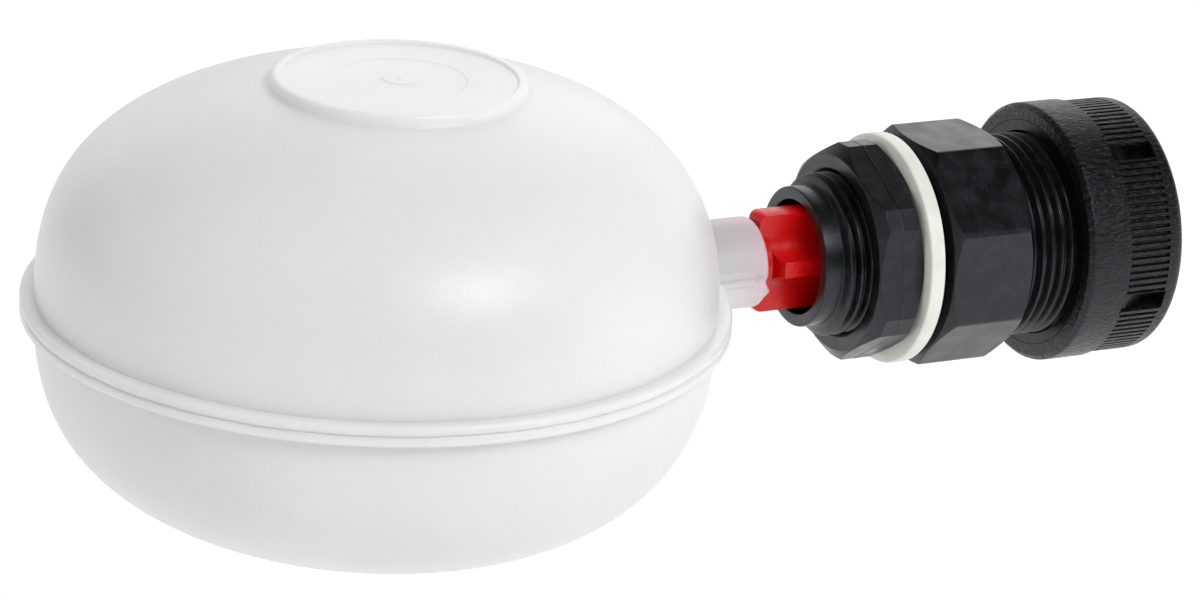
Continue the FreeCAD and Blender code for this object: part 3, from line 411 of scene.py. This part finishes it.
# Evenly spaced turns with more of them close to the special ones
def turnsWith(count, special, spread):
    even = np.linspace(0, fullTurn, count, endpoint=False)
    near = (np.asarray(special)[:, None] + np.asarray(spread)[None, :]).ravel() % fullTurn
    both = np.sort(np.concatenate([even, near]))
    return both[np.concatenate([[True], np.diff(both) > 1e-5])]


# Right-hand helix: a softened triangle wave of (x / pitch - turn) with flat crests and roots
def threadOut(along, turns, crest, depth, pitch):
    wave = np.sin(fullTurn * along / pitch - turns)
    soft = 0.985
    rise = 0.5 + 1.3 * np.arcsin(soft * wave) / (2 * math.asin(soft))
    return crest - depth * (1 - easing(rise, 0.02, 0.98) * 0.35 - np.clip(rise, 0, 1) * 0.65)


# 0 below low, 1 above high, smooth between
def easing(value, low, high):
    part = np.clip((value - low) / (high - low), 0, 1)
    return part * part * (3 - 2 * part)


# float

# lengths in millimetres
floatPart = {
    "fullness": 2.67,  # power of the dome's superellipse
    "wall": 2.0,
    "rimHalf": 2.0,
    "rimStep": 2.7,
    "ringOut": 24.6,
    "ringIn": 22.5,
    "ringRise": 1.2,
    "ringShift": 2.9,
    "dish": 0.7,
    "gate": 3.4,
    "gateRise": 0.22,
    "turns": 300,  # points round the float
    "neckOut": 9.2,
    "neckIn": 6.4,
    "seamHalf": 1.5,
    "seamOut": 0.45,
    "neckStart": 64.2,
    "seamShort": 2.4,
    "weldDepth": 0.1,
    "wrinkle": 0.16,
}


# Rings of the upper half about its own axis: the profile (out, up) is a raised ring with a dish and
# gate mark, then a superellipse (out / radius) ** n + (up / height) ** n = 1, then the rim, and back
# inside a wall further in. The raised ring leans off the axis, and a weld's ripple runs round the rim
def floatHalfRings():
    high = edges("float_upper_shell")[1]
    rim, top = high[1], high[2]
    radius, height = rim - floatPart["rimStep"], top - floatPart["ringRise"]
    power, wall, half = 2 / floatPart["fullness"], floatPart["wall"], floatPart["rimHalf"]
    dish = top - floatPart["dish"]
    ringIn, ringOut, gate = floatPart["ringIn"], floatPart["ringOut"], floatPart["gate"]

    def oval(wide, tall, start, end, steps):
        angle = np.linspace(math.acos((start / wide) ** (1 / power)),
                            math.acos((end / wide) ** (1 / power)), steps)
        return np.stack([wide * np.cos(angle) ** power, tall * np.sin(angle) ** power], axis=-1)

    rimTop = radius * (1 - (half / height) ** floatPart["fullness"]) ** (1 / floatPart["fullness"])
    dome = oval(radius, height, ringOut + 1.9, rimTop, 96)
    foot = oval(radius, height, ringOut + 0.2, rimTop, 2)[0][1]
    lid = rounded([
        (0.15, dish + floatPart["gateRise"] + 0.12, 0), (0.7, dish + floatPart["gateRise"] + 0.12, 0.1),
        (0.95, dish + floatPart["gateRise"], 0.12), (gate, dish + floatPart["gateRise"], 0.1),
        (gate + 0.25, dish, 0.2), (ringIn * 0.56, dish - 0.02, 0.5), (ringIn * 0.57, dish + 0.1, 0.5),
        (ringIn - 0.25, dish + 0.12, 0.5), (ringIn + 0.15, top, 0.4), (ringOut - 0.2, top, 0.8),
        (ringOut + 0.1, foot, 1.3), tuple(dome[0]) + (0,)], steps=4)
    rimPath = rounded([(rimTop, half, 0), (rim, half, 0.75), (rim, 0.4, 0.3), (rim - 0.45, 0, 0)], steps=4)
    inside = oval(radius - wall, height - wall, radius - wall, 0.15, 48)
    path = np.vstack([lid, dome[1:], rimPath[1:], inside])
    outerCount = len(path) - len(inside)
    turns = np.linspace(0, fullTurn, floatPart["turns"], endpoint=False)
    out, up = path[:, 0][:, None], path[:, 1][:, None]
    weld = floatPart["weldDepth"] * (
        np.sin(23 * turns) * np.sin(7 * turns + 1) + 0.6 * np.sin(61 * turns + 2) * np.sin(5 * turns))
    onRim = easing(out, rim - 0.9, rim - 0.1) * easing(-up, -1.1, -0.5)
    out = out + onRim * (weld - 0.12)
    outside = (np.arange(len(path)) < outerCount)[:, None]
    lean = floatPart["ringShift"] * (1 - easing(out, ringOut, radius)) * outside
    rings = np.stack([out * np.cos(turns) + lean, out * np.sin(turns), up + 0 * turns], axis=-1)
    return rings, [floatPart["ringShift"], 0, path[0][1]], [0, 0, path[-1][1]]


# Rings of the half tube that holds the stem, along X from the dome's wall to its curled end. The seam
# stands out beside the joint and fades; on one half a thin ragged film runs out over the lever
def neckHalfRings(end, rag):
    outer, inner = floatPart["neckOut"], floatPart["neckIn"]
    lip, lipOut = floatPart["seamHalf"], floatPart["seamOut"]
    around = np.linspace(0, math.pi, 61)
    round0 = np.stack([np.cos(around), np.sin(around)], axis=-1)
    start = floatPart["neckStart"]
    straight = np.linspace(start, end - 1.2, 44)
    curl = np.linspace(0, math.pi / 2, 7)
    along = np.concatenate([straight, end - 0.9 + 0.9 * np.sin(curl[1:])])
    pull = np.concatenate([0 * straight, 0.9 * (1 - np.cos(curl[1:]))])
    seam = lipOut * (1 - easing(along, end - floatPart["seamShort"] - 1.0, end - floatPart["seamShort"]))
    tubeSide, tubeUp = np.moveaxis(round0[None] * (outer - pull)[:, None, None], -1, 0)
    seam = seam[:, None]
    lipped = np.where((tubeUp < lip) & (seam > 0.02), np.abs(tubeSide) + seam, 0)
    tubeSide = np.sign(tubeSide) * np.maximum(np.abs(tubeSide), lipped)
    bore = np.broadcast_to(round0[::-1] * inner, (len(along), len(around), 2))
    section = np.concatenate([np.stack([tubeSide, tubeUp], axis=-1), bore], axis=1)
    rings = np.concatenate([np.broadcast_to(along[:, None, None], section.shape[:2] + (1,)), section], axis=-1)
    if rag:
        count = len(around)
        angle = around[None, :]
        film = (0.95 * np.exp(-((angle - 0.45) / 0.13) ** 2) - 0.4 * np.exp(-((angle - 0.13) / 0.1) ** 2)
                + 0.3 * np.abs(np.sin(15 * angle + 1)) * np.exp(-((angle - 0.85) / 0.2) ** 2))
        rings[:, :count, 0] += film * easing(rings[:, :1, 0], end - 1.6, end)
        place = rings[:, :count, 0]
        wrinkles = floatPart["wrinkle"] * np.sin(2.6 * place + 5 * angle) * np.sin(9 * angle + 1.3 * place)
        near = np.exp(-((angle - 0.5) / 0.35) ** 2) * easing(place, end - 6, end - 2)
        rings[:, :count, 1:] *= (1 + wrinkles * near / outer)[:, :, None]
    return rings


# Mesh over rings whose two end rings close on their own middles' chords
def capped(name, rings):
    count, width = rings.shape[:2]
    half = width // 2
    corner = np.arange(count * width).reshape(count, width)
    following = np.roll(corner, -1, axis=1)
    cells = np.stack([corner[:-1], following[:-1], following[1:], corner[1:]], axis=-1).reshape(-1, 4).tolist()
    for ring in (corner[0], corner[-1][::-1]):
        one, other = ring[:half], ring[half:][::-1]
        cells += np.stack([one[:-1], other[:-1], other[1:], one[1:]], axis=-1).tolist()
    mesh = bpy.data.meshes.new(name)
    mesh.from_pydata((rings.reshape(-1, 3) * mm).tolist(), [], cells)
    return mesh


# Both halves are the same rings, one turned over about X
def makeFloat():
    low, high = edges("float_upper_shell")
    centre = low[0] + high[1]
    reach = high[0] - centre
    rings, top, bottom = floatHalfRings()
    halves = (("floatUpperHalf", "float_upper_shell", 1), ("floatLowerHalf", "float_lower_shell", -1))
    for name, node, side in halves:
        flip = np.array([1, side, side])
        shift = np.array([centre, 0, 0])
        turnedRings = rings * flip + shift
        dome = closedMesh(name, turnedRings, np.array(top) * flip + shift, np.array(bottom) * flip + shift)
        neck = capped(name + "Neck", neckHalfRings(reach, rag=side < 0) * flip + shift)
        addPiece(name, dome, [node], join=[neck])


makeFloat()
print("float made")


# moulded body: bore, nose thread, octagon, rear thread and chamber in one skin

# lengths in millimetres
bodyPart = {
    "hub": 2.0,
    "bore": 11.75,
    "mouthEdge": 0.25,
    "lead": 14.3,
    "leadLength": 3.9,
    "noseCrest": 16.62,
    "rearCrest": 20.95,
    "depth": 1.45,
    "pitch": 2.309,
    "across": 46.0,
    "faceInset": 0.3,
    "chamfer": 1.3,
    "runout": 1.5,
    "boreEnd": 8.5,
    "chamberStart": 11.0,
    "chamber": 16.0,
    "threadStep": 0.15,
}


# One skin of rings about X: bore and nose lead, helix of the nose, sealing shoulder, octagon whose ends
# are cut back in proportion to how far its sides reach out, waist, helix of the rear, dry chamber
def makeSwitchBody():
    part = bodyPart
    low, high = edges("switch_body")
    mouth, rear = low[0], high[0]
    octagonEnd = edges("circuit_board")[1][0] + 0.4
    corners = math.radians(22.5) + np.arange(8) * math.pi / 4
    turns = turnsWith(216, corners, np.radians([-1.6, -1.0, -0.5, 0, 0.5, 1.0, 1.6]))
    flats = polygonOut(turns, 8, part["across"], 0)
    face = part["across"] / 2 - part["faceInset"]
    depth = 0.16 + part["chamfer"] * (flats - part["across"] / 2) / (flats.max() - part["across"] / 2)

    # Rings of a thread; near its start it grows out of the lead
    def sleeve(start, end, crest, lead, fade):
        along = np.arange(start, end, part["threadStep"])[:, None]
        out = threadOut(along, turns, crest, part["depth"], part["pitch"])
        grown = easing(along, start, start + fade)
        return along, lead + (np.maximum(out, lead) - lead) * grown

    noseStart = mouth + part["leadLength"]
    noseAlong, noseOut = sleeve(noseStart, -part["runout"], part["noseCrest"], part["lead"], 0.7)
    rearRoot = part["rearCrest"] - part["depth"]
    rearAlong, rearOut = sleeve(octagonEnd + part["runout"], rear - 0.8, part["rearCrest"], rearRoot, 0.5)
    front = rounded([
        (part["boreEnd"], part["hub"], 0), (part["boreEnd"], part["bore"], 0.8),
        (mouth, part["bore"], part["mouthEdge"]),
        (mouth, part["lead"], 0.22), (noseStart, part["lead"], 0)])
    neckOut, rearNeck = part["noseCrest"] - 0.9, part["rearCrest"] - 0.9
    shoulder = rounded([(-part["runout"] + 0.1, neckOut, 0), (-0.4, neckOut, 0.3),
                        (0, part["noseCrest"] - 0.2, 0), (0, face, 0)])
    waist = np.array([[octagonEnd, face], [octagonEnd, rearRoot + 0.4], [octagonEnd + 0.4, rearRoot],
                      [octagonEnd + part["runout"] - 0.1, rearRoot]])
    back = rounded([
        (rear - 0.7, rearNeck, 0), (rear, part["rearCrest"] - 1.5, 0.2), (rear, part["chamber"] + 0.6, 0.2),
        (rear - 0.6, part["chamber"], 0), (part["chamberStart"], part["chamber"], 0.6),
        (part["chamberStart"], part["hub"], 0)])

    def rings(path):
        return aboutX(path[:, :1], path[:, 1:] + 0 * turns, turns)

    blocks = [
        rings(front), aboutX(noseAlong + 0 * turns, noseOut, turns), rings(shoulder),
        aboutX(depth[None, :], flats[None, :] - 0.02, turns),
        aboutX(octagonEnd - depth[None, :], flats[None, :] - 0.02, turns),
        rings(waist), aboutX(rearAlong + 0 * turns, rearOut, turns), rings(back)]
    mesh = closedMesh("switchBody", np.vstack(blocks), [part["boreEnd"], 0, 0], [part["chamberStart"], 0, 0])
    addPiece("switchBody", mesh, ["switch_body"], sharp=24)


makeSwitchBody()
print("body made")


# lock nut and gasket

# lengths in millimetres
nutPart = {
    "across": 41.0,
    "cornerOut": 22.4,
    "phase": math.radians(25),
    "faceOut": 20.1,
    "chamfer": 1.6,
    "bore": 16.8,
    "ridge": 0.09,
    "cutHalf": math.radians(5.6),
}


# Hexagon whose corners are cut flat: the smaller of two hexagons' distances out by turn. Both ends are
# chamfered in proportion to the distance, and the mould's parting ridge runs round the middle
def makeLockNut():
    part = nutPart
    low, high = edges("locknut")
    front, back = low[0], high[0]
    middle = (front + back) / 2
    corners = part["phase"] + math.radians(30) + np.arange(6) * math.pi / 3
    bends = np.concatenate([corners - part["cutHalf"], corners + part["cutHalf"]])
    turns = turnsWith(180, bends, np.radians([-1, -0.5, 0, 0.5, 1]))
    hexagon = polygonOut(turns, 6, part["across"], part["phase"], crisp=400)
    cut = polygonOut(turns, 6, 2 * part["cornerOut"], part["phase"] + math.radians(30), crisp=400)
    flats = np.minimum(hexagon, cut)
    depth = 0.18 + part["chamfer"] * (flats - flats.min()) / (flats.max() - flats.min())

    def outer(place, out):
        return aboutX((place + 0 * flats)[None, :], (out + 0 * flats)[None, :], turns)

    blocks = [
        outer(front + 0.5, part["bore"]), outer(front + 0.12, part["bore"] + 0.35),
        outer(front, part["bore"] + 0.6),
        outer(front, part["faceOut"]), outer(front + depth, flats),
        outer(middle - 0.16, flats), outer(middle - 0.06, flats + part["ridge"]),
        outer(middle + 0.06, flats + part["ridge"]), outer(middle + 0.16, flats),
        outer(back - depth, flats), outer(back, part["faceOut"]), outer(back, part["bore"] + 0.6),
        outer(back - 0.5, part["bore"])]
    mesh = closedMesh("lockNut", np.vstack(blocks))
    addPiece("lockNut", mesh, ["locknut"], sharp=24)


gasketPart = {
    "bore": 16.95,
    "edge": 0.45,
    "slack": 0.12,
}


# Flat ring with soft edges whose outside waves a little, as a cut gasket's does
def makeGasket():
    low, high = edges("gasket")
    front, back, out, bore, edge = low[0], high[0], high[1], gasketPart["bore"], gasketPart["edge"]
    path = rounded([
        (back - 1, bore, 0), (front, bore, 0.2), (front, out, edge), (back, out, edge), (back, bore, 0.2),
        (back - 1, bore, 0)], steps=4)[:-1]
    turns = np.linspace(0, fullTurn, 240, endpoint=False)
    wave = 0.06 * np.sin(3 * turns) + 0.04 * np.sin(7 * turns + 1)
    out = path[:, 1:] - gasketPart["slack"] + wave * easing(path[:, 1:], 20, 23.5)
    mesh = closedMesh("gasket", aboutX(path[:, :1], out, turns))
    addPiece("gasketRing", mesh, ["gasket"])


makeLockNut()
makeGasket()
print("lock nut and gasket made")


# grip ring of the coupling nut

# lengths in millimetres
gripPart = {
    "band": 26.9,
    "knurl": 26.4,
    "ribs": 108,
    "perRib": 8,  # points round a rib
    "knurlDepth": 0.6,
    "bore": 23.5,
    "bandLength": 9.5,
    "knurlLength": 9.5,
    "chamfer": 0.9,
    "hole": 14.0,
    "endRound": 1.9,
    "windows": 5,
    "windowPhase": math.radians(35.5),
    "windowWide": 4.3,
    "windowFront": 9.0,
    "windowLength": 10.3,
    "nickDepth": 0.25,
}


# Rings about X: chamfered band with small nicks, knurl whose distance out dips by a smoothed cosine of
# the turn, smooth end with its rear wall, and the seat inside. Snap windows are cut through it
def makeGripRing():
    part = gripPart
    low, high = edges("grip_ring")
    front, rear = low[0], high[0]
    wall = edges("union_nut")[1][0]
    bandEnd, knurlEnd = front + part["bandLength"], front + part["bandLength"] + part["knurlLength"]
    halfWindow = part["windowWide"] / 2 / part["knurl"]
    middles = part["windowPhase"] + np.arange(part["windows"]) * fullTurn / part["windows"]
    sides = np.concatenate([middles - halfWindow, middles + halfWindow])
    turns = turnsWith(part["ribs"] * part["perRib"], sides, [0])
    windowStart = front + part["windowFront"]
    windowEnd = windowStart + part["windowLength"]
    nicks = np.maximum(np.sin(37 * turns) * np.sin(11 * turns + 0.4), 0) ** 6 * part["nickDepth"]
    wave = np.cos(part["ribs"] * turns)
    knurl = part["knurl"] - part["knurlDepth"] * easing(-wave, 0.1, 0.7)

    def outer(place, out):
        return aboutX(np.full((1, len(turns)), place), (out + 0 * turns)[None, :], turns)

    blocks = [
        outer(front, part["bore"]), outer(front, part["band"] - part["chamfer"] - 0.12 - nicks),
        outer(front + 0.12, part["band"] - part["chamfer"] + 0.05 - nicks),
        outer(front + part["chamfer"] - 0.1, part["band"] - 0.1 - 0.4 * nicks),
        outer(front + part["chamfer"] + 0.15, part["band"] - 0.02)]
    blocks += [outer(place, part["band"]) for place in np.linspace(front + 1.6, windowStart, 4)]
    windowFirst = len(blocks) - 1
    blocks += [outer(bandEnd - 0.1, part["band"]), outer(bandEnd, part["band"] - 0.1),
               outer(bandEnd + 0.02, knurl)]
    blocks += [outer(place, knurl) for place in np.linspace(bandEnd + 0.5, knurlEnd - 0.02, 10)]
    blocks += [outer(knurlEnd, part["knurl"]), outer(windowEnd, part["knurl"])]
    windowLast = len(blocks) - 1
    path = rounded([
        (windowEnd + 0.1, part["knurl"], 0), (rear, part["knurl"], part["endRound"]), (rear, part["hole"], 0.4),
        (wall, part["hole"], 0.2), (wall, part["bore"], 0.3), (windowEnd, part["bore"], 0)], steps=6)
    blocks += [outer(place, out) for place, out in path]
    innerFirst = len(blocks) - 1
    matched = [block[0, 0, 0] for block in blocks[windowFirst:windowLast + 1]][::-1]
    blocks += [outer(place, part["bore"]) for place in matched[1:]]
    innerLast = len(blocks) - 1
    rings = np.vstack(blocks)

    # windows: cells between a window's two turns are left out, and walls join outside and inside
    away = np.abs((turns[None, :] + 1e-6 - middles[:, None] + math.pi) % fullTurn - math.pi)
    opened = (away < halfWindow).any(axis=0)
    missing = np.zeros(rings.shape[:2], bool)
    missing[windowFirst:windowLast] = opened
    missing[innerFirst:innerLast] = opened
    mesh = closedMesh("gripRing", rings, missing=missing)
    width = len(turns)
    corner = np.arange(rings.shape[0] * width).reshape(-1, width)
    outside = corner[windowFirst:windowLast + 1]
    inside = corner[innerFirst:innerLast + 1][::-1]
    starts = np.flatnonzero(opened & ~np.roll(opened, 1))
    ends = np.flatnonzero(~opened & np.roll(opened, 1))
    walls = [np.stack([outside[:-1, k], outside[1:, k], inside[1:, k], inside[:-1, k]], axis=-1)
             for k in np.concatenate([starts, ends])]
    across = np.flatnonzero(opened)
    ahead = (across + 1) % width
    walls += [np.stack([outside[k, across], outside[k, ahead], inside[k, ahead], inside[k, across]], axis=-1)
              for k in (0, -1)]
    form = bmesh.new()
    form.from_mesh(mesh)
    form.verts.ensure_lookup_table()
    for panel in np.concatenate([block.reshape(-1, 4) for block in walls]).tolist():
        form.faces.new([form.verts[k] for k in panel])
    loose = [vertex for vertex in form.verts if not vertex.link_faces]
    bmesh.ops.delete(form, geom=loose, context="VERTS")
    form.to_mesh(mesh)
    form.free()
    addPiece("gripRing", mesh, ["grip_ring"], sharp=30)


makeGripRing()
print("grip ring made")


# CAD nodes that stay get their finishes, and fine edge rounding where they show

for node, piece in frame["nodes"].items():
    piece.data.materials.clear()
    piece.data.materials.append(finishes[slotOf[node]])

for node, width in (("union_nut", 0.2), ("cable_seal", 0.3)):
    soften = frame["nodes"][node].modifiers.new("softEdges", "BEVEL")
    soften.width = width * mm
    soften.segments = 3
    soften.limit_method = "ANGLE"
    soften.angle_limit = math.radians(35)
    soften.harden_normals = False
print("finishes set")


# floor, light and world

studio = {
    "behind": (0.47, 0.88, 0.05),  # direction of the backdrop's middle
    "room": 0.735,
    "roomGloss": 0.71,
    "floorLift": 0.25,
    "floorSize": 6.0,
    "floorLevel": -0.16,
    "backdropEdge": (0.5, 0.85),
}


# Pale floor well below the hanging switch
def makeStage():
    size, level = studio["floorSize"], studio["floorLevel"]
    corners = [(x * size, y * size, level) for x, y in ((-1, -1), (1, -1), (1, 1), (-1, 1))]
    mesh = bpy.data.meshes.new("floor")
    mesh.from_pydata(corners, [], [(0, 1, 2, 3)])
    floor = bpy.data.objects.new("floor", mesh)
    bpy.context.scene.collection.objects.link(floor)
    material, tree, shader = newMaterial(
        "paleFloor", Base_Color=linear("#FAFAFA"), Roughness=0.9, Emission_Color=linear("#FFFFFF"))
    rays = addNode(tree, "ShaderNodeLightPath").node.outputs
    seen = addNode(tree, "ShaderNodeMath", {0: rays["Is Camera Ray"], 1: rays["Is Glossy Ray"]},
                   operation="MAXIMUM")
    clear = addNode(tree, "ShaderNodeMath", {0: seen, 1: rays["Is Transmission Ray"]}, operation="MAXIMUM")
    lift = addNode(tree, "ShaderNodeMath", {0: clear, 1: studio["floorLift"]}, operation="MULTIPLY")
    tree.links.new(lift, shader.inputs["Emission Strength"])
    mesh.materials.append(material)


# Rectangular lamp that faces its aim
def makeLamp(name, place, aim, size, power):
    lamp = bpy.data.lights.new(name, "AREA")
    lamp.shape = "RECTANGLE"
    lamp.size, lamp.size_y = size
    lamp.energy = power
    holder = bpy.data.objects.new(name, lamp)
    holder.location = place
    holder.rotation_euler = (Vector(aim) - Vector(place)).to_track_quat("-Z", "Y").to_euler()
    bpy.context.scene.collection.objects.link(holder)


# White backdrop behind the object, and a darker room on the side it is looked at from
def makeWorld():
    world = bpy.data.worlds.new("studio")
    bpy.context.scene.world = world
    world.use_nodes = True
    tree = world.node_tree
    tree.nodes.clear()
    white = linear("#FFFFFF")
    rays = addNode(tree, "ShaderNodeLightPath").node.outputs
    place = addNode(tree, "ShaderNodeTexCoord", out="Generated")
    behind = addNode(tree, "ShaderNodeVectorMath", {0: place, 1: studio["behind"]}, out="Value",
                     operation="DOT_PRODUCT")
    near, far = studio["backdropEdge"]
    facing = addNode(tree, "ShaderNodeMapRange", {"Value": behind, "From Min": near, "From Max": far},
                     interpolation_type="SMOOTHSTEP")
    gloss = addNode(tree, "ShaderNodeMath", {0: rays["Is Glossy Ray"], 1: facing}, operation="MULTIPLY")
    clear = addNode(tree, "ShaderNodeMath", {0: rays["Is Camera Ray"], 1: rays["Is Transmission Ray"]},
                    operation="MAXIMUM")
    seen = addNode(tree, "ShaderNodeMath", {0: clear, 1: gloss}, operation="MAXIMUM")
    dark = addNode(tree, "ShaderNodeMath", {0: rays["Is Glossy Ray"], 1: studio["roomGloss"]},
                   operation="MULTIPLY")
    dim = addNode(tree, "ShaderNodeMath", {0: studio["room"], 1: dark}, operation="SUBTRACT")
    room = addNode(tree, "ShaderNodeBackground", {"Color": white, "Strength": dim})
    backdrop = addNode(tree, "ShaderNodeBackground", {"Color": white, "Strength": 1.0})
    mix = addNode(tree, "ShaderNodeMixShader", {0: seen, 1: room, 2: backdrop})
    addNode(tree, "ShaderNodeOutputWorld", {"Surface": mix})


# place, aim, width and height in metres, and power in watts
lamps = {
    "overheadSoftbox": ((-0.05, 0.6, 0.8), (-0.08, 0, 0), (0.9, 0.7), 0.15),
    "keyPanel": ((0.12, -0.78, 0.7), (-0.12, -0.06, 0.02), (0.36, 0.36), 3.9),
    "rightPanel": ((0.85, -0.45, -0.02), (-0.05, 0, 0), (0.6, 0.6), 1.5),
    "backPanel": ((0.55, 1.1, 0.5), (0.05, 0, 0), (0.7, 0.5), 0.75),
}

makeStage()
for name, settings in lamps.items():
    makeLamp(name, *settings)
makeWorld()
print("stage and light set")
